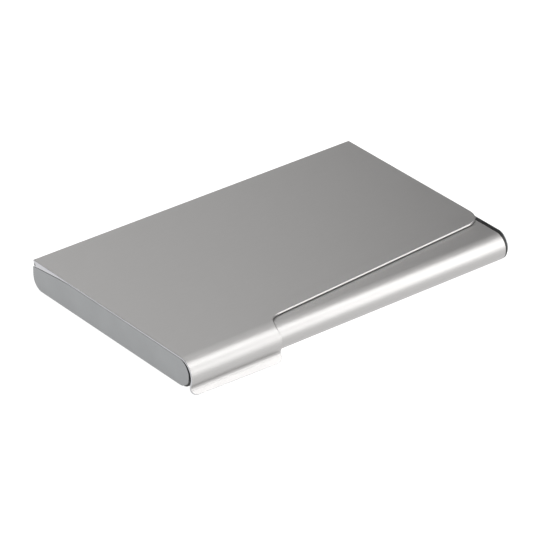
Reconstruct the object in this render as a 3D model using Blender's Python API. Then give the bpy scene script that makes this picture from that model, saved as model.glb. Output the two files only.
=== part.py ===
"""Flat metal business-card case with a hinged lid, as separate pieces.

Metres, +Z up. The case is laid out in its own coordinates first: X from the outside of the left end
plate, Y from the nose of the shell towards the hinge, Z from the shell's underside. One empty then
carries the whole case to the middle of its footprint, level with the lowest edge of the thumb tab,
and a second empty on the hinge axis carries the lid.
"""

import math

import bmesh
import bpy

MM = 0.001

# Driving dimensions.
CASE_LENGTH = 95.0 * MM
SHELL_DEPTH = 60.5 * MM
SHELL_HEIGHT = 7.15 * MM
SHELL_SHEET = 0.4 * MM
LID_SHEET = 0.45 * MM
LID_GAP = 0.2 * MM
RUNNING_GAP = 0.1 * MM

# Heights that follow from them.
LID_UNDERSIDE = SHELL_HEIGHT + LID_GAP
LID_TOP = LID_UNDERSIDE + LID_SHEET

# Shell: one bent sheet with a rounded nose, a front lip, a floor and a rear wall.
NOSE_RADIUS = SHELL_HEIGHT / 2
SHELL_REAR_RADIUS = 3.7 * MM
SHELL_LIP_REACH = 14.5 * MM
REAR_WALL_HEIGHT = 5.9 * MM

# End plates and the black end caps behind them.
PLATE_THICKNESS = 0.6 * MM
PLATE_INSET = 0.4 * MM
PLATE_TOP = LID_UNDERSIDE - 0.05 * MM
PLATE_EDGE_BEVEL = 0.12 * MM
CAP_FLANGE_THICKNESS = 0.4 * MM
CAP_FLANGE_INSET = 0.05 * MM
CAP_FLANGE_DROP = 0.1 * MM
CAP_PLUG_REACH = 2.8 * MM
CAP_PLUG_INSET = 1.0 * MM
CAP_PLUG_FLOOR = 0.6 * MM
CAP_LIP_CLEARANCE = 0.3 * MM

# Hinge.
LID_REAR = SHELL_DEPTH - 0.6 * MM
AXIS_Y = LID_REAR - 0.65 * MM
AXIS_Z = LID_UNDERSIDE - 0.6 * MM
PIN_RADIUS = 0.25 * MM
PIN_BORE_RADIUS = PIN_RADIUS + 0.06 * MM
PIN_LENGTH = 3.4 * MM
PIN_BEVEL = PIN_RADIUS / 4
BOSS_RADIUS = 0.45 * MM
BOSS_FRONT = AXIS_Y - 1.2 * MM
BOSS_ROOT = REAR_WALL_HEIGHT - 1.5 * MM
BOSS_END = 3.7 * MM
BOSS_ARC_END = 150.0
EAR_RADIUS = 0.55 * MM
EAR_LENGTH = 13.1 * MM
EAR_RAMP = 3.4 * MM
EAR_FRONT_DEPTH = 0.15 * MM
EAR_INSET = 0.03 * MM
EAR_ARC_START = -93.0
RELIEF_GAP = 0.12 * MM

# Lid: flat sheet, with a wrap over the nose that ends in the thumb tab.
WRAP_RADIUS = NOSE_RADIUS + LID_GAP
WRAP_CENTRE_Y = NOSE_RADIUS - 0.2 * MM
WRAP_END_ANGLE = -25.0
WRAP_WIDTH = 25.75 * MM
TAB_BEND_RADIUS = 1.4 * MM
TAB_SLOPE = 45.0
TAB_LENGTH = 1.4 * MM
TAB_TAPER = 0.4 * MM
TAB_LEFT_RADIUS = 1.6 * MM
TAB_RIGHT_RADIUS = 1.7 * MM
NOTCH_RADIUS = 4.3 * MM
CUT_START_Y = 4.7 * MM
CUT_SLOPE = 4.15
LID_CORNER_RADIUS = 5.0 * MM
FLANGE_BOTTOM = REAR_WALL_HEIGHT + 0.25 * MM
FLANGE_END_GAP = 4.3 * MM

# Card spring and floor liner.
SPRING_SHEET = 0.25 * MM
SPRING_WIDTH = 10.0 * MM
SPRING_FOOT = 8.0 * MM
SPRING_SPAN = 42.0 * MM
SPRING_RISE = 0.95 * MM
SPRING_STEPS = 24
SPRING_TOE_LENGTH = 2.0 * MM
SPRING_TOE_RISE = 0.35 * MM
LINER_THICKNESS = 0.45 * MM
LINER_CORNER = 2.0 * MM
LINER_END_MARGIN = 4.2 * MM
LINER_FRONT = 4.0 * MM
LINER_REAR = 57.5 * MM
WINDOW_MARGIN = 0.8 * MM

# Facets, in degrees: the step of every arc, and the angles above which an edge looks sharp or is bevelled.
ARC_STEP = 6.0
SHARP_ANGLE = 30.0
BEVEL_ANGLE = 40.0

# Finishes: colour, roughness, metallic.
SATIN_STEEL = ((0.42, 0.415, 0.405), 0.36, 1.0)
PLATE_GREY = ((0.36, 0.37, 0.38), 0.45, 1.0)
BLACK_PLASTIC = ((0.012, 0.012, 0.013), 0.45, 0.0)
PIN_STEEL = ((0.5, 0.5, 0.5), 0.25, 1.0)
SPRING_STEEL = ((0.5, 0.5, 0.5), 0.22, 1.0)
BLACK_FELT = ((0.02, 0.02, 0.022), 0.95, 0.0)


def clear_scene():
    for obj in list(bpy.data.objects):
        bpy.data.objects.remove(obj, do_unlink=True)


def material(name, colour, roughness, metallic):
    made = bpy.data.materials.new(name)
    made.use_nodes = True
    shader = made.node_tree.nodes["Principled BSDF"]
    shader.inputs["Base Color"].default_value = (*colour, 1.0)
    shader.inputs["Roughness"].default_value = roughness
    shader.inputs["Metallic"].default_value = metallic
    return made


# Outlines.


def fillet(before, corner, after, radius):
    """Points of the arc that rounds a corner, on either side of the outline."""
    if radius == 0:
        return [corner]
    to_before = (before[0] - corner[0], before[1] - corner[1])
    to_after = (after[0] - corner[0], after[1] - corner[1])
    angle_before = math.atan2(to_before[1], to_before[0])
    angle_after = math.atan2(to_after[1], to_after[0])
    turn = (angle_after - angle_before + math.pi) % (2 * math.pi) - math.pi
    middle = angle_before + turn / 2
    distance = radius / math.sin(abs(turn) / 2)
    centre = (corner[0] + distance * math.cos(middle), corner[1] + distance * math.sin(middle))
    sweep = math.pi - abs(turn)
    steps = max(2, round(math.degrees(sweep) / ARC_STEP))
    start = middle + math.pi + math.copysign(sweep / 2, turn)
    step = -math.copysign(sweep / steps, turn)
    return [
        (centre[0] + radius * math.cos(start + step * k), centre[1] + radius * math.sin(start + step * k))
        for k in range(steps + 1)
    ]


def rounded_outline(corners):
    """A closed outline from (a, b, radius) corners."""
    outline = []
    for index, (a, b, radius) in enumerate(corners):
        before = corners[index - 1][:2]
        after = corners[(index + 1) % len(corners)][:2]
        outline += fillet(before, (a, b), after, radius)
    return outline


def rounded_path(corners):
    """An open path from (a, b, radius) corners, whose two ends stay sharp."""
    path = [corners[0][:2]]
    for before, corner, after in zip(corners, corners[1:], corners[2:]):
        path += fillet(before[:2], corner[:2], after[:2], corner[2])
    return path + [corners[-1][:2]]


def thick_path(path, thickness):
    """The closed outline of a strip that lies on the left of an open path."""
    offset = []
    for index, (a, b) in enumerate(path):
        before = path[max(index - 1, 0)]
        after = path[min(index + 1, len(path) - 1)]
        run = (after[0] - before[0], after[1] - before[1])
        length = math.hypot(*run)
        offset.append((a - run[1] / length * thickness, b + run[0] / length * thickness))
    return path + offset[::-1]


def arc(centre, radius, start, end):
    """Points on a circle from start to end, in degrees."""
    steps = max(2, round(abs(end - start) / ARC_STEP))
    angles = [math.radians(start + (end - start) * k / steps) for k in range(steps + 1)]
    return [(centre[0] + radius * math.cos(t), centre[1] + radius * math.sin(t)) for t in angles]


# Solids.


def mesh_object(name, bm, parent, finish):
    bmesh.ops.recalc_face_normals(bm, faces=bm.faces)
    mesh = bpy.data.meshes.new(name)
    bm.to_mesh(mesh)
    bm.free()
    mesh.materials.append(material(f"{name}_finish", *finish))
    mesh.shade_smooth()
    mesh.set_sharp_from_angle(angle=math.radians(SHARP_ANGLE))
    obj = bpy.data.objects.new(name, mesh)
    bpy.context.scene.collection.objects.link(obj)
    obj.parent = parent
    return obj


def prism(name, outline, low, high, parent, finish, along="X"):
    """An outline extruded along X, with points (y, z), or along another axis with the other two."""
    place = {
        "X": lambda a, b: (low, a, b),
        "Y": lambda a, b: (a, low, b),
        "Z": lambda a, b: (a, b, low),
    }[along]
    travel = {"X": (high - low, 0, 0), "Y": (0, high - low, 0), "Z": (0, 0, high - low)}[along]
    bm = bmesh.new()
    base = bm.faces.new([bm.verts.new(place(a, b)) for a, b in outline])
    grown = bmesh.ops.extrude_face_region(bm, geom=[base])
    top = [item for item in grown["geom"] if isinstance(item, bmesh.types.BMVert)]
    bmesh.ops.translate(bm, verts=top, vec=travel)
    return mesh_object(name, bm, parent, finish)


def bevelled(obj, width, segments=2):
    modifier = obj.modifiers.new("edge_bevel", "BEVEL")
    modifier.width = width
    modifier.segments = segments
    modifier.limit_method = "ANGLE"
    modifier.angle_limit = math.radians(BEVEL_ANGLE)
    return obj


def boolean(obj, tool, operation):
    modifier = obj.modifiers.new(f"{operation.lower()}_{tool.name}", "BOOLEAN")
    modifier.operation = operation
    modifier.object = tool
    tool.hide_render = True
    tool.display_type = "WIRE"
    return obj


def hinge_rod(name, radius, low, high, parent, finish):
    """A rod or a bore on the hinge axis."""
    return prism(name, arc((AXIS_Y, AXIS_Z), radius, 0, 360)[:-1], low, high, parent, finish)


def on_side(side, low, high):
    """The X range of a piece given from the left end, or its mirror image at the right end."""
    return (low, high) if side == "left" else (CASE_LENGTH - high, CASE_LENGTH - low)


# The shell.


def shell_section():
    outer = [
        (SHELL_LIP_REACH, SHELL_HEIGHT, 0),
        (0, SHELL_HEIGHT, NOSE_RADIUS),
        (0, 0, NOSE_RADIUS),
        (SHELL_DEPTH, 0, SHELL_REAR_RADIUS),
        (SHELL_DEPTH, REAR_WALL_HEIGHT, 0),
    ]
    inner = [
        (SHELL_LIP_REACH, SHELL_HEIGHT - SHELL_SHEET, 0),
        (SHELL_SHEET, SHELL_HEIGHT - SHELL_SHEET, NOSE_RADIUS - SHELL_SHEET),
        (SHELL_SHEET, SHELL_SHEET, NOSE_RADIUS - SHELL_SHEET),
        (SHELL_DEPTH - SHELL_SHEET, SHELL_SHEET, SHELL_REAR_RADIUS - SHELL_SHEET),
        (SHELL_DEPTH - SHELL_SHEET, REAR_WALL_HEIGHT, 0),
    ]
    return rounded_path(outer) + rounded_path(inner)[::-1]


def make_shell(case, steel):
    end = PLATE_THICKNESS + CAP_FLANGE_THICKNESS + 2 * RUNNING_GAP
    return prism("body_shell", shell_section(), end, CASE_LENGTH - end, case, steel)


# The ends: a metal plate over a black cap that plugs the shell and holds the hinge pin.


def relief_line(drop):
    """The top edge near the hinge, which falls away below the lid's ears, this far under the plate's."""
    gap = RELIEF_GAP + drop
    ear_front = AXIS_Y - EAR_LENGTH
    return [
        (ear_front - gap, PLATE_TOP - drop, 0),
        (ear_front + EAR_RAMP - gap, LID_UNDERSIDE - EAR_FRONT_DEPTH - gap, 0),
        (AXIS_Y, AXIS_Z - EAR_RADIUS - gap, 0),
        (AXIS_Y + EAR_RADIUS, REAR_WALL_HEIGHT - drop, 0),
    ]


def end_section(inset, drop):
    """An end plate or cap flange: inset from the shell's outline, and drop below the plate's top edge."""
    high = PLATE_TOP - drop
    nose = (high - inset) / 2
    rear = SHELL_DEPTH - inset
    return rounded_outline([
        (inset, inset, nose),
        (inset, high, nose),
        *relief_line(drop),
        (rear, REAR_WALL_HEIGHT - drop, 0),
        (rear, inset, SHELL_REAR_RADIUS - inset),
    ])


def plug_section():
    lip_underside = SHELL_HEIGHT - SHELL_SHEET - 2 * RUNNING_GAP
    radius = NOSE_RADIUS - CAP_PLUG_INSET
    behind_lip = SHELL_LIP_REACH + CAP_LIP_CLEARANCE
    inset = PLATE_INSET
    rear = SHELL_DEPTH - SHELL_SHEET - 2 * RUNNING_GAP
    corners = [
        (CAP_PLUG_INSET, CAP_PLUG_FLOOR, radius),
        (CAP_PLUG_INSET, lip_underside, radius),
        (behind_lip, lip_underside, 0),
        (behind_lip, PLATE_TOP - inset, 0),
        *relief_line(inset),
        (rear, REAR_WALL_HEIGHT - inset, 0),
        (rear, CAP_PLUG_FLOOR, SHELL_REAR_RADIUS - SHELL_SHEET),
    ]
    return rounded_outline(corners)


def boss_section():
    return [
        (BOSS_FRONT, BOSS_ROOT),
        (AXIS_Y + BOSS_RADIUS, BOSS_ROOT),
        *arc((AXIS_Y, AXIS_Z), BOSS_RADIUS, 0, BOSS_ARC_END),
        (BOSS_FRONT, AXIS_Z - BOSS_RADIUS),
    ]


def make_end(side, case, plate_finish, cap_finish, pin_finish):
    plate_low, plate_high = on_side(side, 0, PLATE_THICKNESS)
    plate = prism(f"end_plate_{side}", end_section(PLATE_INSET, 0), plate_low, plate_high, case, plate_finish)
    bevelled(plate, PLATE_EDGE_BEVEL)

    flange_start = PLATE_THICKNESS + RUNNING_GAP
    flange_end = flange_start + CAP_FLANGE_THICKNESS
    low, high = on_side(side, flange_start, flange_end)
    flange = end_section(CAP_FLANGE_INSET, CAP_FLANGE_DROP)
    cap = prism(f"end_cap_{side}", flange, low, high, case, cap_finish)
    low, high = on_side(side, flange_start + CAP_FLANGE_THICKNESS / 2, CAP_PLUG_REACH)
    plug = prism(f"cap_plug_{side}", plug_section(), low, high, case, cap_finish)
    boolean(cap, plug, "UNION")
    low, high = on_side(side, flange_start + CAP_FLANGE_DROP, BOSS_END)
    boss = prism(f"cap_boss_{side}", boss_section(), low, high, case, cap_finish)
    boolean(cap, boss, "UNION")
    low, high = on_side(side, 0, BOSS_END + PLATE_THICKNESS)
    bore = hinge_rod(f"cap_bore_{side}", PIN_BORE_RADIUS, low, high, case, cap_finish)
    boolean(cap, bore, "DIFFERENCE")

    low, high = on_side(side, RUNNING_GAP, RUNNING_GAP + PIN_LENGTH)
    pin = hinge_rod(f"hinge_pin_{side}", PIN_RADIUS, low, high, case, pin_finish)
    bevelled(pin, PIN_BEVEL, 1)


# The lid.


def lid_stretches():
    """The lid's section from its rear edge to the tab's edge: (length, turn in radians) of each stretch."""
    wrap_turn = math.radians(90 - WRAP_END_ANGLE)
    tab_turn = -math.radians(90 - WRAP_END_ANGLE - TAB_SLOPE)
    flat_length = LID_REAR - WRAP_CENTRE_Y
    return [
        (flat_length, 0.0),
        ((WRAP_RADIUS + LID_SHEET / 2) * wrap_turn, wrap_turn),
        (TAB_BEND_RADIUS * -tab_turn, tab_turn),
        (TAB_LENGTH, 0.0),
    ]


def lid_section_at(distance):
    """Middle of the sheet (y, z), and its outward normal, this far from the rear edge along the sheet."""
    y = LID_REAR
    z = LID_UNDERSIDE + LID_SHEET / 2
    heading = math.pi
    for length, turn in lid_stretches():
        part = min(distance, length)
        if turn:
            radius = length / turn
            angle = part / radius
            y += radius * (math.sin(heading + angle) - math.sin(heading))
            z -= radius * (math.cos(heading + angle) - math.cos(heading))
            heading += angle
        else:
            y += part * math.cos(heading)
            z += part * math.sin(heading)
        distance -= part
    return (y, z), (math.sin(heading), -math.cos(heading))


def lid_outline():
    """The lid as a flat blank: x, and the distance from the rear edge."""
    front = sum(length for length, turn in lid_stretches())
    slope = math.tan(math.radians(CUT_SLOPE))
    cut_start = LID_REAR - CUT_START_Y
    cut_end = cut_start - slope * (CASE_LENGTH - WRAP_WIDTH)
    return rounded_outline([
        (0, 0, 0),
        (0, front - TAB_TAPER, TAB_LEFT_RADIUS),
        (WRAP_WIDTH, front, TAB_RIGHT_RADIUS),
        (WRAP_WIDTH, cut_start, NOTCH_RADIUS),
        (CASE_LENGTH, cut_end, LID_CORNER_RADIUS),
        (CASE_LENGTH, 0, 0),
    ])


def bend_distances():
    """Where the blank is scored across so that it can follow its two bends."""
    cuts = []
    start = 0.0
    for length, turn in lid_stretches():
        steps = max(1, math.ceil(math.degrees(abs(turn)) / ARC_STEP))
        cuts += [start + length * k / steps for k in range(steps)]
        start += length
    return cuts[1:]


def bent_sheet(name, outline, parent, finish):
    """The flat blank, bent along the lid's section and given its thickness."""
    blank = bmesh.new()
    blank.faces.new([blank.verts.new((x, distance, 0)) for x, distance in outline])
    for distance in bend_distances():
        everything = blank.verts[:] + blank.edges[:] + blank.faces[:]
        bmesh.ops.bisect_plane(blank, geom=everything, plane_co=(0, distance, 0), plane_no=(0, 1, 0))
    blank.verts.index_update()

    bm = bmesh.new()
    sides = []
    for offset in (LID_SHEET / 2, -LID_SHEET / 2):
        surface = []
        for vert in blank.verts:
            (y, z), (across_y, across_z) = lid_section_at(vert.co.y)
            surface.append(bm.verts.new((vert.co.x, y + offset * across_y, z + offset * across_z)))
        sides.append(surface)
    for face in blank.faces:
        loop = [vert.index for vert in face.verts]
        bm.faces.new([sides[0][index] for index in loop])
        bm.faces.new([sides[1][index] for index in reversed(loop)])
    for edge in blank.edges:
        if edge.is_boundary:
            one, other = (vert.index for vert in edge.verts)
            bm.faces.new([sides[0][one], sides[0][other], sides[1][other], sides[1][one]])
    blank.free()
    return mesh_object(name, bm, parent, finish)


def ear_section():
    """The folded ear at each end of the lid: deepest at the hinge, running out to nothing in front."""
    front = AXIS_Y - EAR_LENGTH
    buried = LID_UNDERSIDE + LID_SHEET / 2
    return [
        (front, buried),
        (front, LID_UNDERSIDE),
        (front + EAR_RAMP, LID_UNDERSIDE - EAR_FRONT_DEPTH),
        *arc((AXIS_Y, AXIS_Z), EAR_RADIUS, EAR_ARC_START, 0),
        (AXIS_Y + EAR_RADIUS, buried),
    ]


def make_lid(hinge, steel):
    lid = bent_sheet("lid", lid_outline(), hinge, steel)
    for side in ("left", "right"):
        low, high = on_side(side, EAR_INSET, LID_SHEET)
        boolean(lid, prism(f"lid_ear_{side}", ear_section(), low, high, hinge, steel), "UNION")
    flange = [
        (LID_REAR - LID_SHEET, FLANGE_BOTTOM),
        (LID_REAR - EAR_INSET, FLANGE_BOTTOM),
        (LID_REAR - EAR_INSET, LID_UNDERSIDE + LID_SHEET / 2),
        (LID_REAR - LID_SHEET, LID_UNDERSIDE + LID_SHEET / 2),
    ]
    low, high = FLANGE_END_GAP, CASE_LENGTH - FLANGE_END_GAP
    boolean(lid, prism("lid_rear_flange", flange, low, high, hinge, steel), "UNION")
    bore = hinge_rod("lid_bore", PIN_BORE_RADIUS, -LID_SHEET, CASE_LENGTH + LID_SHEET, hinge, steel)
    boolean(lid, bore, "DIFFERENCE")
    return lid


# Inside: a bowed leaf spring under the cards, and the felt on the floor around its foot.


def spring_start():
    return (CASE_LENGTH - SPRING_SPAN) / 2 - SPRING_FOOT


def make_spring(case, steel):
    bottom = SHELL_SHEET + RUNNING_GAP
    start = spring_start()
    bow_start = start + SPRING_FOOT
    step_onto_liner = LINER_THICKNESS + RUNNING_GAP
    path = [(start, bottom)]
    for k in range(SPRING_STEPS + 1):
        along = k / SPRING_STEPS
        bow = SPRING_RISE * math.sin(math.pi * along) ** 2
        settle = step_onto_liner * (3 * along**2 - 2 * along**3)
        path.append((bow_start + SPRING_SPAN * along, bottom + bow + settle))
    toe_x, toe_z = path[-1]
    path.append((toe_x + SPRING_TOE_LENGTH, toe_z))
    path.append((toe_x + 2 * SPRING_TOE_LENGTH, toe_z + SPRING_TOE_RISE))
    middle = SHELL_DEPTH / 2
    low, high = middle - SPRING_WIDTH / 2, middle + SPRING_WIDTH / 2
    return prism("card_spring", thick_path(path, SPRING_SHEET), low, high, case, steel, "Y")


def rectangle(x_low, x_high, y_low, y_high, radius):
    return rounded_outline([
        (x_low, y_low, radius),
        (x_high, y_low, radius),
        (x_high, y_high, radius),
        (x_low, y_high, radius),
    ])


def make_liner(case, felt):
    bottom = SHELL_SHEET + RUNNING_GAP
    outline = rectangle(LINER_END_MARGIN, CASE_LENGTH - LINER_END_MARGIN, LINER_FRONT, LINER_REAR, LINER_CORNER)
    liner = prism("floor_liner", outline, bottom, bottom + LINER_THICKNESS, case, felt, "Z")
    start = spring_start()
    middle = SHELL_DEPTH / 2
    half = SPRING_WIDTH / 2 + WINDOW_MARGIN
    end = start + SPRING_FOOT + SPRING_SPAN / 2
    outline = rectangle(start - WINDOW_MARGIN, end, middle - half, middle + half, LINER_CORNER / 2)
    window = prism("liner_window", outline, 0, SHELL_HEIGHT / 2, case, felt, "Z")
    return boolean(liner, window, "DIFFERENCE")


def empty(name, parent, location):
    made = bpy.data.objects.new(name, None)
    bpy.context.scene.collection.objects.link(made)
    made.parent = parent
    made.location = location
    return made


def tab_edge():
    """The foremost y and the lowest z of the case, on the upper and lower edges of the thumb tab."""
    middle, outward = lid_section_at(max(distance for x, distance in lid_outline()))
    return middle[0] + LID_SHEET / 2 * outward[0], middle[1] - LID_SHEET / 2 * outward[1]


def main():
    clear_scene()
    front, bottom = tab_edge()
    case = empty("case", None, (-CASE_LENGTH / 2, -(SHELL_DEPTH + front) / 2, -bottom))
    hinge = empty("lid_hinge", case, (0, AXIS_Y, AXIS_Z))
    lid_frame = empty("lid_frame", hinge, (0, -AXIS_Y, -AXIS_Z))

    make_shell(case, SATIN_STEEL)
    for side in ("left", "right"):
        make_end(side, case, PLATE_GREY, BLACK_PLASTIC, PIN_STEEL)
    make_lid(lid_frame, SATIN_STEEL)
    make_spring(case, SPRING_STEEL)
    make_liner(case, BLACK_FELT)


main()
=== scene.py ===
"""Looks of the flat metal business-card case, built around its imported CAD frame.

The case is laid out in its own coordinates: X from the outside of the left end plate, Y from the nose
of the shell towards the hinge, Z up from the shell's underside. CASE_ORIGIN carries them into the CAD
frame.
"""

import math

import bmesh
import bpy
from mathutils import Matrix, Vector


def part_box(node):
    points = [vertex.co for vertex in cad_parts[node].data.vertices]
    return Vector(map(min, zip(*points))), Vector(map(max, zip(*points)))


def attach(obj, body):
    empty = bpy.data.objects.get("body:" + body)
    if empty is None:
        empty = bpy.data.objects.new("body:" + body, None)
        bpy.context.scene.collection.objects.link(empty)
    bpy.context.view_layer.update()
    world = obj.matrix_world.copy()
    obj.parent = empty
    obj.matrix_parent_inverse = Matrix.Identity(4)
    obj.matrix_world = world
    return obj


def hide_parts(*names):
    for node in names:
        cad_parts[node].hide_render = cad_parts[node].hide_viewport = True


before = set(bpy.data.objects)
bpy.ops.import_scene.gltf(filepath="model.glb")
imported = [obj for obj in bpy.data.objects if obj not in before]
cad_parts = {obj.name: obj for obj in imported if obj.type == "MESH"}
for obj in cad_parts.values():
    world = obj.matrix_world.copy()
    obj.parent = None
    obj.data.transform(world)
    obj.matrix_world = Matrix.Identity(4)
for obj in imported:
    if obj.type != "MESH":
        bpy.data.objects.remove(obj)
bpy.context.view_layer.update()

MM = 0.001

# Driving dimensions, from the CAD nodes.
shell_low, shell_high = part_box("body_shell")
plate_low, plate_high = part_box("end_plate_left")
lid_low, lid_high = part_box("lid")
CASE_ORIGIN = Vector((plate_low.x, shell_low.y, shell_low.z))
CASE_LENGTH = lid_high.x - lid_low.x
SHELL_DEPTH = shell_high.y - shell_low.y
SHELL_HEIGHT = shell_high.z - shell_low.z
SHELL_END = shell_low.x - plate_low.x
PLATE_THICKNESS = plate_high.x - plate_low.x
PLATE_INSET = plate_low.z - shell_low.z
PLATE_TOP = plate_high.z - shell_low.z
LID_TOP = lid_high.z - shell_low.z
LID_REAR = lid_high.y - shell_low.y

# Sheet metal.
SHELL_SHEET = 0.4 * MM
LID_SHEET = 0.45 * MM
LID_UNDERSIDE = LID_TOP - LID_SHEET
LID_GAP = LID_UNDERSIDE - SHELL_HEIGHT
RUNNING_GAP = 0.1 * MM

# Shell.
NOSE_RADIUS = SHELL_HEIGHT / 2
SHELL_REAR_RADIUS = 3.7 * MM
SHELL_LIP_REACH = 14.5 * MM
REAR_WALL_HEIGHT = 5.9 * MM

# Black end caps behind the plates.
CAP_FLANGE_THICKNESS = 0.4 * MM
CAP_FLANGE_INSET = 0.05 * MM
CAP_FLANGE_DROP = 0.1 * MM
CAP_PLUG_REACH = 2.8 * MM
CAP_PLUG_INSET = 1.0 * MM
CAP_PLUG_FLOOR = 0.6 * MM
CAP_LIP_CLEARANCE = 0.3 * MM

# Hinge, just inside the lid's rear edge and just below the lid.
AXIS_FROM_REAR = 0.65 * MM
AXIS_FROM_LID = 0.6 * MM
AXIS_Y = LID_REAR - AXIS_FROM_REAR
AXIS_Z = LID_UNDERSIDE - AXIS_FROM_LID
PIN_RADIUS = 0.25 * MM
PIN_CLEARANCE = 0.06 * MM
PIN_BORE_RADIUS = PIN_RADIUS + PIN_CLEARANCE
PIN_LENGTH = 3.4 * MM
PIN_EDGE = PIN_RADIUS / 4
BOSS_RADIUS = 0.45 * MM
BOSS_REACH = 1.2 * MM
BOSS_ROOT_DEPTH = 1.5 * MM
BOSS_FRONT = AXIS_Y - BOSS_REACH
BOSS_ROOT = REAR_WALL_HEIGHT - BOSS_ROOT_DEPTH
BOSS_START = 0.1 * MM
BOSS_END = 3.7 * MM
BOSS_ARC_END = 150.0
EAR_RADIUS = 0.55 * MM
EAR_LENGTH = 13.1 * MM
EAR_RAMP = 3.4 * MM
EAR_FRONT_DEPTH = 0.15 * MM
EAR_INSET = 0.02 * MM
EAR_ARC_START = -93.0
RELIEF_GAP = 0.12 * MM

# Lid.
WRAP_RADIUS = NOSE_RADIUS + LID_GAP
WRAP_SHIFT = 0.2 * MM
WRAP_CENTRE_Y = NOSE_RADIUS - WRAP_SHIFT
WRAP_END_ANGLE = -25.0
WRAP_WIDTH = 25.75 * MM
TAB_BEND_RADIUS = 1.4 * MM
TAB_SLOPE = 45.0
TAB_LENGTH = 1.4 * MM
TAB_TAPER = 0.4 * MM
TAB_LEFT_RADIUS = 1.6 * MM
TAB_RIGHT_RADIUS = 1.7 * MM
NOTCH_RADIUS = 4.3 * MM
CUT_START_Y = 4.7 * MM
CUT_SLOPE = 4.15
LID_CORNER_RADIUS = 5.0 * MM
FLANGE_GAP = 0.25 * MM
FLANGE_BOTTOM = REAR_WALL_HEIGHT + FLANGE_GAP
FLANGE_END_GAP = 4.3 * MM

# Card spring and floor liner.
SPRING_SHEET = 0.25 * MM
SPRING_WIDTH = 10.0 * MM
SPRING_FOOT = 8.0 * MM
SPRING_SPAN = 42.0 * MM
SPRING_RISE = 0.95 * MM
SPRING_STEPS = 96
SPRING_TOE_LENGTH = 2.0 * MM
SPRING_TOE_RISE = 0.35 * MM
LINER_THICKNESS = 0.45 * MM
LINER_CORNER = 2.0 * MM
LINER_END_MARGIN = 4.2 * MM
LINER_FRONT = 4.0 * MM
LINER_REAR = 57.5 * MM
LINER_EDGE = LINER_THICKNESS / 3
WINDOW_MARGIN = 0.8 * MM
WINDOW_CORNER = LINER_CORNER / 2

# Edges and facets. The lid's trimmed edges are rounded by LID_EDGE, its other edges by a share of it.
SHEET_EDGE = 0.05 * MM
LID_EDGE = 0.27 * MM
LID_BURR_SHARE = 0.2
PLATE_EDGE = {"left": 0.03 * MM, "right": 0.4 * MM}
EDGE_SEGMENTS = 3
NORMAL_WEIGHT = 100
ARC_STEP = 2.0
ROD_STEP = 3 * ARC_STEP
SHARP_ANGLE = 30.0
# Points closer than this are one point, for instance where two arcs meet at the nose's front.
WELD = 0.001 * MM


# Outlines.


def fillet(before, corner, after, radius):
    """Points of the arc that rounds a corner, on either side of the outline."""
    if radius == 0:
        return [corner]
    to_before = (before[0] - corner[0], before[1] - corner[1])
    to_after = (after[0] - corner[0], after[1] - corner[1])
    angle_before = math.atan2(to_before[1], to_before[0])
    angle_after = math.atan2(to_after[1], to_after[0])
    turn = (angle_after - angle_before + math.pi) % (2 * math.pi) - math.pi
    middle = angle_before + turn / 2
    distance = radius / math.sin(abs(turn) / 2)
    centre = (corner[0] + distance * math.cos(middle), corner[1] + distance * math.sin(middle))
    sweep = math.pi - abs(turn)
    steps = max(2, round(math.degrees(sweep) / ARC_STEP))
    start = middle + math.pi + math.copysign(sweep / 2, turn)
    step = -math.copysign(sweep / steps, turn)
    return [
        (centre[0] + radius * math.cos(start + step * k), centre[1] + radius * math.sin(start + step * k))
        for k in range(steps + 1)
    ]


def rounded_outline(corners):
    """A closed outline from (a, b, radius) corners."""
    outline = []
    for index, (a, b, radius) in enumerate(corners):
        before = corners[index - 1][:2]
        after = corners[(index + 1) % len(corners)][:2]
        outline += fillet(before, (a, b), after, radius)
    return outline


def rounded_path(corners):
    """An open path from (a, b, radius) corners, whose two ends stay sharp."""
    path = [corners[0][:2]]
    for before, corner, after in zip(corners, corners[1:], corners[2:]):
        path += fillet(before[:2], corner[:2], after[:2], corner[2])
    return path + [corners[-1][:2]]


def thick_path(path, thickness):
    """The closed outline of a strip that lies on the left of an open path."""
    offset = []
    for index, (a, b) in enumerate(path):
        before = path[max(index - 1, 0)]
        after = path[min(index + 1, len(path) - 1)]
        run = (after[0] - before[0], after[1] - before[1])
        length = math.hypot(*run)
        offset.append((a - run[1] / length * thickness, b + run[0] / length * thickness))
    return path + offset[::-1]


def arc(centre, radius, start, end, step=ARC_STEP):
    """Points on a circle from start to end, in degrees."""
    steps = max(2, round(abs(end - start) / step))
    angles = [math.radians(start + (end - start) * k / steps) for k in range(steps + 1)]
    return [(centre[0] + radius * math.cos(t), centre[1] + radius * math.sin(t)) for t in angles]


def rectangle(x_low, x_high, y_low, y_high, radius):
    return rounded_outline([
        (x_low, y_low, radius),
        (x_high, y_low, radius),
        (x_high, y_high, radius),
        (x_low, y_high, radius),
    ])


def on_side(side, low, high):
    """The X range of a piece given from the left end, or its mirror image at the right end."""
    return (low, high) if side == "left" else (CASE_LENGTH - high, CASE_LENGTH - low)


# Materials.

# Most of a noise lies between these two values.
NOISE_LOW = 0.3
NOISE_HIGH = 0.7


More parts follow.
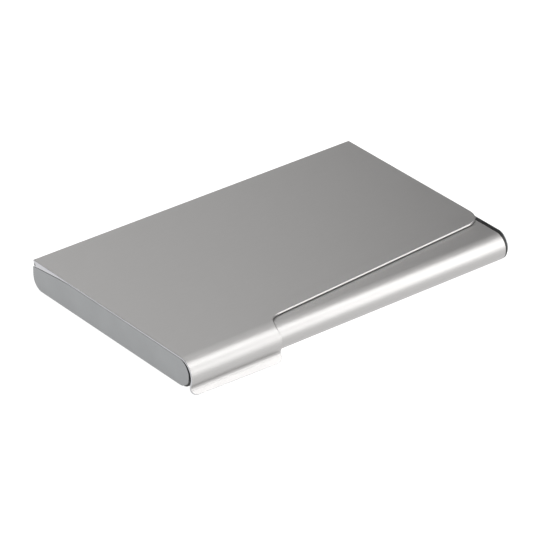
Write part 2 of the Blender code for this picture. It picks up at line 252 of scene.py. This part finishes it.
class Shader:
    """A material whose look is put together from named node steps."""

    def __init__(self, name, colour, roughness, metallic):
        self.material = bpy.data.materials.new(name)
        self.material.use_nodes = True
        self.tree = self.material.node_tree
        self.surface = self.tree.nodes["Principled BSDF"]
        self.surface.inputs["Base Color"].default_value = (*colour, 1.0)
        self.surface.inputs["Roughness"].default_value = roughness
        self.surface.inputs["Metallic"].default_value = metallic
        self.coordinates = self.tree.nodes.new("ShaderNodeTexCoord").outputs["Object"]
        self.normal = None

    def node(self, kind, **inputs):
        made = self.tree.nodes.new(kind)
        for name, value in inputs.items():
            self.put(value, made.inputs[name.replace("_", " ")])
        return made

    def put(self, value, socket):
        if isinstance(value, bpy.types.NodeSocket):
            self.tree.links.new(value, socket)
        else:
            socket.default_value = value

    def noise(self, cells, detail=2.0, roughness=0.5):
        """Noise with that many cells per metre, or with its own number along each of X, Y and Z."""
        scale = cells if isinstance(cells, tuple) else (cells, cells, cells)
        vector = self.node("ShaderNodeMapping", Vector=self.coordinates, Scale=scale).outputs["Vector"]
        made = self.node("ShaderNodeTexNoise", Vector=vector, Scale=1.0, Detail=detail, Roughness=roughness)
        return made.outputs["Fac"]

    def spread(self, source, middle, reach):
        """The noise mapped to a value that strays this far to either side of the middle."""
        mapped = self.node("ShaderNodeMapRange", Value=source)
        mapped.inputs["From Min"].default_value = NOISE_LOW
        mapped.inputs["From Max"].default_value = NOISE_HIGH
        mapped.inputs["To Min"].default_value = middle - reach
        mapped.inputs["To Max"].default_value = middle + reach
        return mapped.outputs["Result"]

    def mottle(self, source, colour, amount):
        """The base colour, darker and lighter by that share of itself as the noise goes."""
        ramp = self.tree.nodes.new("ShaderNodeValToRGB")
        self.tree.links.new(source, ramp.inputs["Fac"])
        dark, light = ramp.color_ramp.elements
        dark.position = NOISE_LOW
        light.position = NOISE_HIGH
        dark.color = (*[channel * (1 - amount) for channel in colour], 1.0)
        light.color = (*[channel * (1 + amount) for channel in colour], 1.0)
        self.tree.links.new(ramp.outputs["Color"], self.surface.inputs["Base Color"])

    def relief(self, source, depth):
        """A bump of that depth in metres, on top of the ones before it."""
        bump = self.node("ShaderNodeBump", Height=source, Distance=depth, Strength=1.0)
        if self.normal:
            self.tree.links.new(self.normal, bump.inputs["Normal"])
        self.normal = bump.outputs["Normal"]
        self.tree.links.new(self.normal, self.surface.inputs["Normal"])


def satin_metal(name, colour, roughness, anisotropy=0.65):
    """Sheet metal with a fine brushed grain along X."""
    shader = Shader(name, colour, roughness, 1.0)
    grain = shader.noise((250.0, 9000.0, 9000.0), detail=3.0, roughness=0.6)
    clouds = shader.noise(90.0, detail=3.0)
    shader.mottle(grain, colour, 0.03)
    uneven = shader.node("ShaderNodeMath")
    uneven.operation = "ADD"
    shader.put(shader.spread(grain, roughness, 0.03), uneven.inputs[0])
    shader.put(shader.spread(clouds, 0.0, 0.01), uneven.inputs[1])
    shader.put(uneven.outputs["Value"], shader.surface.inputs["Roughness"])
    shader.relief(grain, 0.12e-6)
    shader.surface.inputs["Anisotropic"].default_value = anisotropy
    shader.surface.inputs["Anisotropic Rotation"].default_value = 0.25
    grain_axis = shader.node("ShaderNodeCombineXYZ", X=1.0)
    shader.put(grain_axis.outputs["Vector"], shader.surface.inputs["Tangent"])
    return shader.material


def blasted_metal(name, colour, roughness):
    """Metal with the even, matte grain of fine bead blasting."""
    shader = Shader(name, colour, roughness, 1.0)
    grain = shader.noise(9000.0)
    clouds = shader.noise(150.0, detail=4.0)
    shader.mottle(clouds, colour, 0.03)
    shader.put(shader.spread(grain, roughness, 0.05), shader.surface.inputs["Roughness"])
    shader.relief(grain, 1.0e-6)
    return shader.material


def moulded_plastic(name, colour, roughness):
    """Plastic with a faint spark-eroded texture."""
    shader = Shader(name, colour, roughness, 0.0)
    grain = shader.noise(4000.0, detail=3.0)
    shader.mottle(grain, colour, 0.15)
    shader.put(shader.spread(grain, roughness, 0.08), shader.surface.inputs["Roughness"])
    shader.relief(grain, 3.0e-6)
    return shader.material


def felt(name, colour, roughness):
    """Pressed felt: tangled fibres at two scales, with the soft rim of short nap."""
    shader = Shader(name, colour, roughness, 0.0)
    fibres = shader.noise(2500.0, detail=6.0, roughness=0.75)
    clumps = shader.noise(500.0, detail=3.0)
    shader.mottle(fibres, colour, 0.5)
    shader.relief(clumps, 60.0e-6)
    shader.relief(fibres, 50.0e-6)
    shader.surface.inputs["Sheen Weight"].default_value = 0.4
    shader.surface.inputs["Sheen Roughness"].default_value = 0.5
    return shader.material


STEEL = (0.42, 0.413, 0.408)
CUT_STEEL = (0.55, 0.55, 0.57)
PLATE_GREY = (0.355, 0.362, 0.368)
BLACK = (0.012, 0.012, 0.013)
SPRING_STEEL = (0.5, 0.5, 0.5)
FELT_BLACK = (0.02, 0.02, 0.022)

lid_steel = satin_metal("lid_steel", STEEL, roughness=0.36)
cut_steel = satin_metal("cut_steel", CUT_STEEL, roughness=0.3)
shell_steel = satin_metal("shell_steel", STEEL, roughness=0.36)
plate_metal = blasted_metal("plate_metal", PLATE_GREY, roughness=0.45)
black_plastic = moulded_plastic("black_plastic", BLACK, roughness=0.45)
pin_steel = satin_metal("pin_steel", SPRING_STEEL, roughness=0.25, anisotropy=0.2)
spring_steel = satin_metal("spring_steel", SPRING_STEEL, roughness=0.22)
black_felt = felt("black_felt", FELT_BLACK, roughness=0.95)


# Solids.


def mesh_object(name, bm, finish):
    bmesh.ops.recalc_face_normals(bm, faces=bm.faces)
    mesh = bpy.data.meshes.new(name)
    bm.to_mesh(mesh)
    bm.free()
    mesh.materials.append(finish)
    mesh.shade_smooth()
    mesh.set_sharp_from_angle(angle=math.radians(SHARP_ANGLE))
    obj = bpy.data.objects.new(name, mesh)
    bpy.context.scene.collection.objects.link(obj)
    obj.location = CASE_ORIGIN
    return obj


def prism(name, outline, low, high, finish, along="X"):
    """An outline extruded along X, with points (y, z), or along another axis with the other two."""
    place = {
        "X": lambda a, b: (low, a, b),
        "Y": lambda a, b: (a, low, b),
        "Z": lambda a, b: (a, b, low),
    }[along]
    travel = [high - low if axis == along else 0 for axis in "XYZ"]
    bm = bmesh.new()
    base = bm.faces.new([bm.verts.new(place(a, b)) for a, b in outline])
    grown = bmesh.ops.extrude_face_region(bm, geom=[base])
    top = [item for item in grown["geom"] if isinstance(item, bmesh.types.BMVert)]
    bmesh.ops.translate(bm, verts=top, vec=travel)
    bmesh.ops.remove_doubles(bm, verts=bm.verts[:], dist=WELD)
    return mesh_object(name, bm, finish)


def hinge_rod(name, radius, low, high, finish):
    """A rod or a bore on the hinge axis."""
    return prism(name, arc((AXIS_Y, AXIS_Z), radius, 0, 360, ROD_STEP)[:-1], low, high, finish)


def with_booleans(obj, operation, *tools):
    """Applies the tools to the mesh and removes them."""
    for tool in tools:
        modifier = obj.modifiers.new(operation.lower(), "BOOLEAN")
        modifier.operation = operation
        modifier.object = tool
    graph = bpy.context.evaluated_depsgraph_get()
    result = bpy.data.meshes.new_from_object(obj.evaluated_get(graph))
    obj.modifiers.clear()
    obj.data = result
    for tool in tools:
        bpy.data.objects.remove(tool, do_unlink=True)
    result.shade_smooth()
    result.set_sharp_from_angle(angle=math.radians(SHARP_ANGLE))
    return obj


def rounded_edges(obj, width):
    """Small rounds on the sharp edges, and shading that keeps the flat faces flat."""
    bevel = obj.modifiers.new("edges", "BEVEL")
    bevel.width = width
    bevel.segments = EDGE_SEGMENTS
    bevel.limit_method = "WEIGHT" if "bevel_weight_edge" in obj.data.attributes else "ANGLE"
    bevel.angle_limit = math.radians(SHARP_ANGLE)
    bevel.miter_outer = "MITER_ARC"
    bevel.use_clamp_overlap = False
    shading = obj.modifiers.new("shading", "WEIGHTED_NORMAL")
    shading.keep_sharp = True
    shading.weight = NORMAL_WEIGHT
    return obj


def finished(obj, body, node, edge=0.0):
    """Rounds the edges, and puts the piece on its body in place of its CAD node."""
    if edge:
        rounded_edges(obj, edge)
    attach(obj, body)
    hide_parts(node)
    return obj


# The shell.


def shell_section():
    """The bent sheet: front lip, nose, floor and rear wall."""
    outer = [
        (SHELL_LIP_REACH, SHELL_HEIGHT, 0),
        (0, SHELL_HEIGHT, NOSE_RADIUS),
        (0, 0, NOSE_RADIUS),
        (SHELL_DEPTH, 0, SHELL_REAR_RADIUS),
        (SHELL_DEPTH, REAR_WALL_HEIGHT, 0),
    ]
    inner = [
        (SHELL_LIP_REACH, SHELL_HEIGHT - SHELL_SHEET, 0),
        (SHELL_SHEET, SHELL_HEIGHT - SHELL_SHEET, NOSE_RADIUS - SHELL_SHEET),
        (SHELL_SHEET, SHELL_SHEET, NOSE_RADIUS - SHELL_SHEET),
        (SHELL_DEPTH - SHELL_SHEET, SHELL_SHEET, SHELL_REAR_RADIUS - SHELL_SHEET),
        (SHELL_DEPTH - SHELL_SHEET, REAR_WALL_HEIGHT, 0),
    ]
    return rounded_path(outer) + rounded_path(inner)[::-1]


shell = prism("shell_skin", shell_section(), SHELL_END, CASE_LENGTH - SHELL_END, shell_steel)
finished(shell, "case", "body_shell", SHEET_EDGE)


# The ends.


def relief_line(drop):
    """The top edge near the hinge, which falls away below the lid's ears, this far under the plate's."""
    gap = RELIEF_GAP + drop
    ear_front = AXIS_Y - EAR_LENGTH
    return [
        (ear_front - gap, PLATE_TOP - drop, 0),
        (ear_front + EAR_RAMP - gap, LID_UNDERSIDE - EAR_FRONT_DEPTH - gap, 0),
        (AXIS_Y, AXIS_Z - EAR_RADIUS - gap, 0),
        (AXIS_Y + EAR_RADIUS, REAR_WALL_HEIGHT - drop, 0),
    ]


def end_section(inset, drop):
    """An end plate or cap flange: inset from the shell's outline, and drop below the plate's top edge."""
    high = PLATE_TOP - drop
    nose = (high - inset) / 2
    rear = SHELL_DEPTH - inset
    return rounded_outline([
        (inset, inset, nose),
        (inset, high, nose),
        *relief_line(drop),
        (rear, REAR_WALL_HEIGHT - drop, 0),
        (rear, inset, SHELL_REAR_RADIUS - inset),
    ])


def plug_section():
    """The cap's plug, which fits inside the shell, under its front lip and below the lid's ear."""
    lip_underside = SHELL_HEIGHT - SHELL_SHEET - 2 * RUNNING_GAP
    radius = NOSE_RADIUS - CAP_PLUG_INSET
    behind_lip = SHELL_LIP_REACH + CAP_LIP_CLEARANCE
    rear = SHELL_DEPTH - SHELL_SHEET - 2 * RUNNING_GAP
    return rounded_outline([
        (CAP_PLUG_INSET, CAP_PLUG_FLOOR, radius),
        (CAP_PLUG_INSET, lip_underside, radius),
        (behind_lip, lip_underside, 0),
        (behind_lip, PLATE_TOP - PLATE_INSET, 0),
        *relief_line(PLATE_INSET),
        (rear, REAR_WALL_HEIGHT - PLATE_INSET, 0),
        (rear, CAP_PLUG_FLOOR, SHELL_REAR_RADIUS - SHELL_SHEET),
    ])


def boss_section():
    """The boss that holds the hinge pin, rounded about the axis so that the lid clears it."""
    return [
        (BOSS_FRONT, BOSS_ROOT),
        (AXIS_Y + BOSS_RADIUS, BOSS_ROOT),
        *arc((AXIS_Y, AXIS_Z), BOSS_RADIUS, 0, BOSS_ARC_END),
        (BOSS_FRONT, AXIS_Z - BOSS_RADIUS),
    ]


def make_cap(side):
    flange_start = PLATE_THICKNESS + RUNNING_GAP
    low, high = on_side(side, flange_start, flange_start + CAP_FLANGE_THICKNESS)
    flange = end_section(CAP_FLANGE_INSET, CAP_FLANGE_DROP)
    cap = prism(f"cap_moulding_{side}", flange, low, high, black_plastic)
    low, high = on_side(side, flange_start + CAP_FLANGE_THICKNESS / 2, CAP_PLUG_REACH)
    plug = prism("plug", plug_section(), low, high, black_plastic)
    low, high = on_side(side, flange_start + BOSS_START, BOSS_END)
    boss = prism("boss", boss_section(), low, high, black_plastic)
    with_booleans(cap, "UNION", plug, boss)
    low, high = on_side(side, 0, BOSS_END + PLATE_THICKNESS)
    bore = hinge_rod("bore", PIN_BORE_RADIUS, low, high, black_plastic)
    with_booleans(cap, "DIFFERENCE", bore)
    return finished(cap, "case", f"end_cap_{side}")


def make_plate(side):
    low, high = on_side(side, 0, PLATE_THICKNESS)
    plate = prism(f"plate_face_{side}", end_section(PLATE_INSET, 0), low, high, plate_metal)
    return finished(plate, "case", f"end_plate_{side}", PLATE_EDGE[side])


def make_pin(side):
    low, high = on_side(side, RUNNING_GAP, RUNNING_GAP + PIN_LENGTH)
    pin = hinge_rod(f"pin_rod_{side}", PIN_RADIUS, low, high, pin_steel)
    return finished(pin, "case", f"hinge_pin_{side}", PIN_EDGE)


for side in ("left", "right"):
    make_plate(side)
    make_cap(side)
    make_pin(side)


# The lid.


def lid_stretches():
    """The lid's section from its rear edge to the tab's edge: (length, turn in radians) of each stretch."""
    wrap_turn = math.radians(90 - WRAP_END_ANGLE)
    tab_turn = -math.radians(90 - WRAP_END_ANGLE - TAB_SLOPE)
    return [
        (LID_REAR - WRAP_CENTRE_Y, 0.0),
        ((WRAP_RADIUS + LID_SHEET / 2) * wrap_turn, wrap_turn),
        (TAB_BEND_RADIUS * -tab_turn, tab_turn),
        (TAB_LENGTH, 0.0),
    ]


def lid_section_at(distance):
    """Middle of the sheet (y, z), and its outward normal, this far from the rear edge along the sheet."""
    y = LID_REAR
    z = LID_UNDERSIDE + LID_SHEET / 2
    heading = math.pi
    for length, turn in lid_stretches():
        part = min(distance, length)
        if turn:
            radius = length / turn
            angle = part / radius
            y += radius * (math.sin(heading + angle) - math.sin(heading))
            z -= radius * (math.cos(heading + angle) - math.cos(heading))
            heading += angle
        else:
            y += part * math.cos(heading)
            z += part * math.sin(heading)
        distance -= part
    return (y, z), (math.sin(heading), -math.cos(heading))


def lid_outline():
    """The lid as a flat blank: x, and the distance from the rear edge."""
    front = sum(length for length, turn in lid_stretches())
    slope = math.tan(math.radians(CUT_SLOPE))
    cut_start = LID_REAR - CUT_START_Y
    cut_end = cut_start - slope * (CASE_LENGTH - WRAP_WIDTH)
    return rounded_outline([
        (0, 0, 0),
        (0, front - TAB_TAPER, TAB_LEFT_RADIUS),
        (WRAP_WIDTH, front, TAB_RIGHT_RADIUS),
        (WRAP_WIDTH, cut_start, NOTCH_RADIUS),
        (CASE_LENGTH, cut_end, LID_CORNER_RADIUS),
        (CASE_LENGTH, 0, 0),
    ])


def bend_distances():
    """Where the blank is scored across: at each small step of a bend, and where stretches meet."""
    cuts = []
    start = 0.0
    for length, turn in lid_stretches():
        steps = max(1, math.ceil(math.degrees(abs(turn)) / ARC_STEP))
        cuts += [start + length * k / steps for k in range(steps)]
        start += length
    return cuts[1:]


def is_trimmed(edge):
    """Whether an edge of the blank is rounded over: the notch, the slanted front and the right end."""
    right_of_wrap = all(vert.co.x > WRAP_WIDTH / 2 for vert in edge.verts)
    behind_nose = all(vert.co.y < LID_REAR for vert in edge.verts)
    return right_of_wrap and behind_nose


def flat_blank(outline):
    """The blank as one flat surface, scored across so that it can follow the bends."""
    blank = bmesh.new()
    blank.faces.new([blank.verts.new((x, distance, 0)) for x, distance in outline])
    for distance in bend_distances():
        everything = blank.verts[:] + blank.edges[:] + blank.faces[:]
        bmesh.ops.bisect_plane(blank, geom=everything, plane_co=(0, distance, 0), plane_no=(0, 1, 0))
    blank.verts.index_update()
    return blank


def bent_side(bm, blank, offset):
    """The blank's points in the bent lid, this far outside the middle of the sheet."""
    points = []
    for vert in blank.verts:
        (y, z), (across_y, across_z) = lid_section_at(vert.co.y)
        points.append(bm.verts.new((vert.co.x, y + offset * across_y, z + offset * across_z)))
    return points


def bent_sheet(name, outline, finish, cut_finish):
    """The blank bent along the lid's section, with its thickness, cut faces and edge rounds."""
    blank = flat_blank(outline)
    rim = [edge for edge in blank.edges if edge.is_boundary]
    bm = bmesh.new()
    outside = bent_side(bm, blank, LID_SHEET / 2)
    inside = bent_side(bm, blank, -LID_SHEET / 2)
    for face in blank.faces:
        loop = [vert.index for vert in face.verts]
        bm.faces.new([outside[index] for index in loop])
        bm.faces.new([inside[index] for index in reversed(loop)])
    for edge in rim:
        one, other = (vert.index for vert in edge.verts)
        cut = bm.faces.new([outside[one], outside[other], inside[other], inside[one]])
        cut.material_index = 0 if is_trimmed(edge) else 1
    weight = bm.edges.layers.float.new("bevel_weight_edge")
    for edge in rim:
        one, other = (vert.index for vert in edge.verts)
        outer_edge = bm.edges.get([outside[one], outside[other]])
        inner_edge = bm.edges.get([inside[one], inside[other]])
        outer_edge[weight] = 1.0 if is_trimmed(edge) else LID_BURR_SHARE
        inner_edge[weight] = LID_BURR_SHARE
    blank.free()
    sheet = mesh_object(name, bm, finish)
    sheet.data.materials.append(cut_finish)
    return sheet


def ear_section():
    """The folded ear at each end of the lid: deepest at the hinge, running out to nothing in front."""
    front = AXIS_Y - EAR_LENGTH
    buried = LID_UNDERSIDE + LID_SHEET / 2
    return [
        (front, buried),
        (front, LID_UNDERSIDE),
        (front + EAR_RAMP, LID_UNDERSIDE - EAR_FRONT_DEPTH),
        *arc((AXIS_Y, AXIS_Z), EAR_RADIUS, EAR_ARC_START, 0),
        (AXIS_Y + EAR_RADIUS, buried),
    ]


def make_ear(side):
    low, high = on_side(side, EAR_INSET, LID_SHEET)
    ear = prism(f"lid_ear_{side}", ear_section(), low, high, cut_steel)
    bore = hinge_rod("bore", PIN_BORE_RADIUS, -LID_SHEET, CASE_LENGTH + LID_SHEET, cut_steel)
    with_booleans(ear, "DIFFERENCE", bore)
    return finished(ear, "lid", "lid")


def make_rear_flange():
    """The narrow strip folded down along the lid's rear edge, between the two ears."""
    inside = LID_REAR - LID_SHEET
    outside = LID_REAR - EAR_INSET
    buried = LID_UNDERSIDE + LID_SHEET / 2
    outline = [
        (inside, FLANGE_BOTTOM),
        (outside, FLANGE_BOTTOM),
        (outside, buried),
        (inside, buried),
    ]
    flange = prism("lid_rear_flange", outline, FLANGE_END_GAP, CASE_LENGTH - FLANGE_END_GAP, lid_steel)
    return finished(flange, "lid", "lid", SHEET_EDGE)


lid_sheet = bent_sheet("lid_sheet", lid_outline(), lid_steel, cut_steel)
finished(lid_sheet, "lid", "lid", LID_EDGE)
for side in ("left", "right"):
    make_ear(side)
make_rear_flange()


# Inside.


def spring_path():
    """The underside of the leaf: a flat foot, a bow that also climbs onto the liner, and a raised toe."""
    bottom = SHELL_SHEET + RUNNING_GAP
    start = spring_start()
    bow_start = start + SPRING_FOOT
    step_onto_liner = LINER_THICKNESS + RUNNING_GAP
    path = [(start, bottom)]
    for k in range(SPRING_STEPS + 1):
        along = k / SPRING_STEPS
        bow = SPRING_RISE * math.sin(math.pi * along) ** 2
        settle = step_onto_liner * (3 * along**2 - 2 * along**3)
        path.append((bow_start + SPRING_SPAN * along, bottom + bow + settle))
    toe_x, toe_z = path[-1]
    path.append((toe_x + SPRING_TOE_LENGTH, toe_z))
    path.append((toe_x + 2 * SPRING_TOE_LENGTH, toe_z + SPRING_TOE_RISE))
    return path


def spring_start():
    """X of the foot's free end."""
    return (CASE_LENGTH - SPRING_SPAN) / 2 - SPRING_FOOT


def make_spring():
    middle = SHELL_DEPTH / 2
    low, high = middle - SPRING_WIDTH / 2, middle + SPRING_WIDTH / 2
    spring = prism("spring_leaf", thick_path(spring_path(), SPRING_SHEET), low, high, spring_steel, "Y")
    return finished(spring, "case", "card_spring", SHEET_EDGE)


def make_liner():
    """The felt, with a window for the spring's foot and the first half of its bow."""
    bottom = SHELL_SHEET + RUNNING_GAP
    right_end = CASE_LENGTH - LINER_END_MARGIN
    outline = rectangle(LINER_END_MARGIN, right_end, LINER_FRONT, LINER_REAR, LINER_CORNER)
    liner = prism("felt_liner", outline, bottom, bottom + LINER_THICKNESS, black_felt, "Z")
    start = spring_start()
    middle = SHELL_DEPTH / 2
    half = SPRING_WIDTH / 2 + WINDOW_MARGIN
    end = start + SPRING_FOOT + SPRING_SPAN / 2
    window_outline = rectangle(start - WINDOW_MARGIN, end, middle - half, middle + half, WINDOW_CORNER)
    window = prism("window", window_outline, 0, SHELL_HEIGHT / 2, black_felt, "Z")
    with_booleans(liner, "DIFFERENCE", window)
    return finished(liner, "case", "floor_liner", LINER_EDGE)


make_spring()
make_liner()


# Stage, light and camera.

FLOOR_SIZE = 6.0
FLOOR_GAP = 0.05 * MM
FLOOR_COLOUR = (0.3, 0.3, 0.3)
FLOOR_GLOW = 1.0
WHITE = (1.0, 1.0, 1.0, 1.0)


def make_floor():
    """A matt floor that glows just enough to come out white."""
    bm = bmesh.new()
    bmesh.ops.create_grid(bm, x_segments=1, y_segments=1, size=FLOOR_SIZE / 2)
    shader = Shader("white_floor", FLOOR_COLOUR, roughness=0.9, metallic=0.0)
    shader.surface.inputs["Specular IOR Level"].default_value = 0.0
    shader.surface.inputs["Emission Color"].default_value = WHITE
    shader.surface.inputs["Emission Strength"].default_value = FLOOR_GLOW
    floor = mesh_object("floor", bm, shader.material)
    floor.location = (0, 0, -FLOOR_GAP)


def direction(azimuth, elevation):
    """Unit vector: azimuth in degrees from +X towards +Y, elevation in degrees above the floor."""
    turn = math.radians(azimuth)
    lift = math.radians(elevation)
    return Vector((math.cos(turn) * math.cos(lift), math.sin(turn) * math.cos(lift), math.sin(lift)))


WORLD_RADIANCE = 0.01
PANEL_SIZE = 0.6
PANEL_DISTANCE = 1.4

# Azimuth and elevation in degrees, and radiance, of each soft panel around the case.
PANELS = {
    "front_low": (-77, 12, 2.7),
    "front_right_low": (-51, 12, 3.15),
    "front_right": (-40, 24, 1.6),
    "right_front": (-30, 36, 1.7),
    "front_right_high": (-50, 48, 2.9),
    "front_right_top": (-45, 62, 1.4),
    "right": (0, 36, 2.0),
    "right_top": (0, 62, 0.45),
    "back_right_high": (25, 48, 0.2),
    "back_right_top": (45, 62, 1.5),
    "back_right": (60, 36, 1.13),
    "back_low": (77, 12, 3.0),
}


def make_panel(name, azimuth, elevation, radiance):
    """A square soft panel that faces the case."""
    light = bpy.data.lights.new(name, "AREA")
    light.shape = "SQUARE"
    light.size = PANEL_SIZE
    light.energy = radiance * math.pi * PANEL_SIZE**2
    lamp = bpy.data.objects.new(name, light)
    bpy.context.scene.collection.objects.link(lamp)
    towards = direction(azimuth, elevation)
    lamp.location = towards * PANEL_DISTANCE
    lamp.rotation_euler = towards.to_track_quat("Z", "Y").to_euler()
    lamp.visible_camera = False


def make_light():
    """The panels, and a world that is almost black."""
    for name, settings in PANELS.items():
        make_panel(name, *settings)
    world = bpy.data.worlds.new("studio")
    world.use_nodes = True
    background = world.node_tree.nodes["Background"]
    background.inputs["Color"].default_value = WHITE
    background.inputs["Strength"].default_value = WORLD_RADIANCE
    bpy.context.scene.world = world


CAMERA_TURN = 38.233
CAMERA_ELEVATION = 29.618
CAMERA_ROLL = -0.171
CAMERA_DISTANCE = 984.4 * MM
CAMERA_AIM = Vector((45.897, 30.395, 2.801)) * MM
CAMERA_LENS = 283.51
SENSOR_WIDTH = 36.0
CLIP_START = 0.01
CLIP_END = 100.0


def make_camera():
    """The camera stands in front of the case, turned towards its left end."""
    backward = direction(-90 - CAMERA_TURN, CAMERA_ELEVATION)
    level_right = Vector((0, 0, 1)).cross(backward).normalized()
    roll = Matrix.Rotation(math.radians(CAMERA_ROLL), 3, backward)
    right = roll @ level_right
    up = backward.cross(right)
    camera_data = bpy.data.cameras.new("camera")
    camera_data.lens = CAMERA_LENS
    camera_data.sensor_width = SENSOR_WIDTH
    camera_data.clip_start = CLIP_START
    camera_data.clip_end = CLIP_END
    camera = bpy.data.objects.new("camera", camera_data)
    bpy.context.scene.collection.objects.link(camera)
    place = Matrix((right, up, backward)).transposed().to_4x4()
    place.translation = CASE_ORIGIN + CAMERA_AIM + backward * CAMERA_DISTANCE
    camera.matrix_world = place
    bpy.context.scene.camera = camera


make_floor()
make_light()
make_camera()
bpy.context.scene.view_settings.view_transform = "Standard"
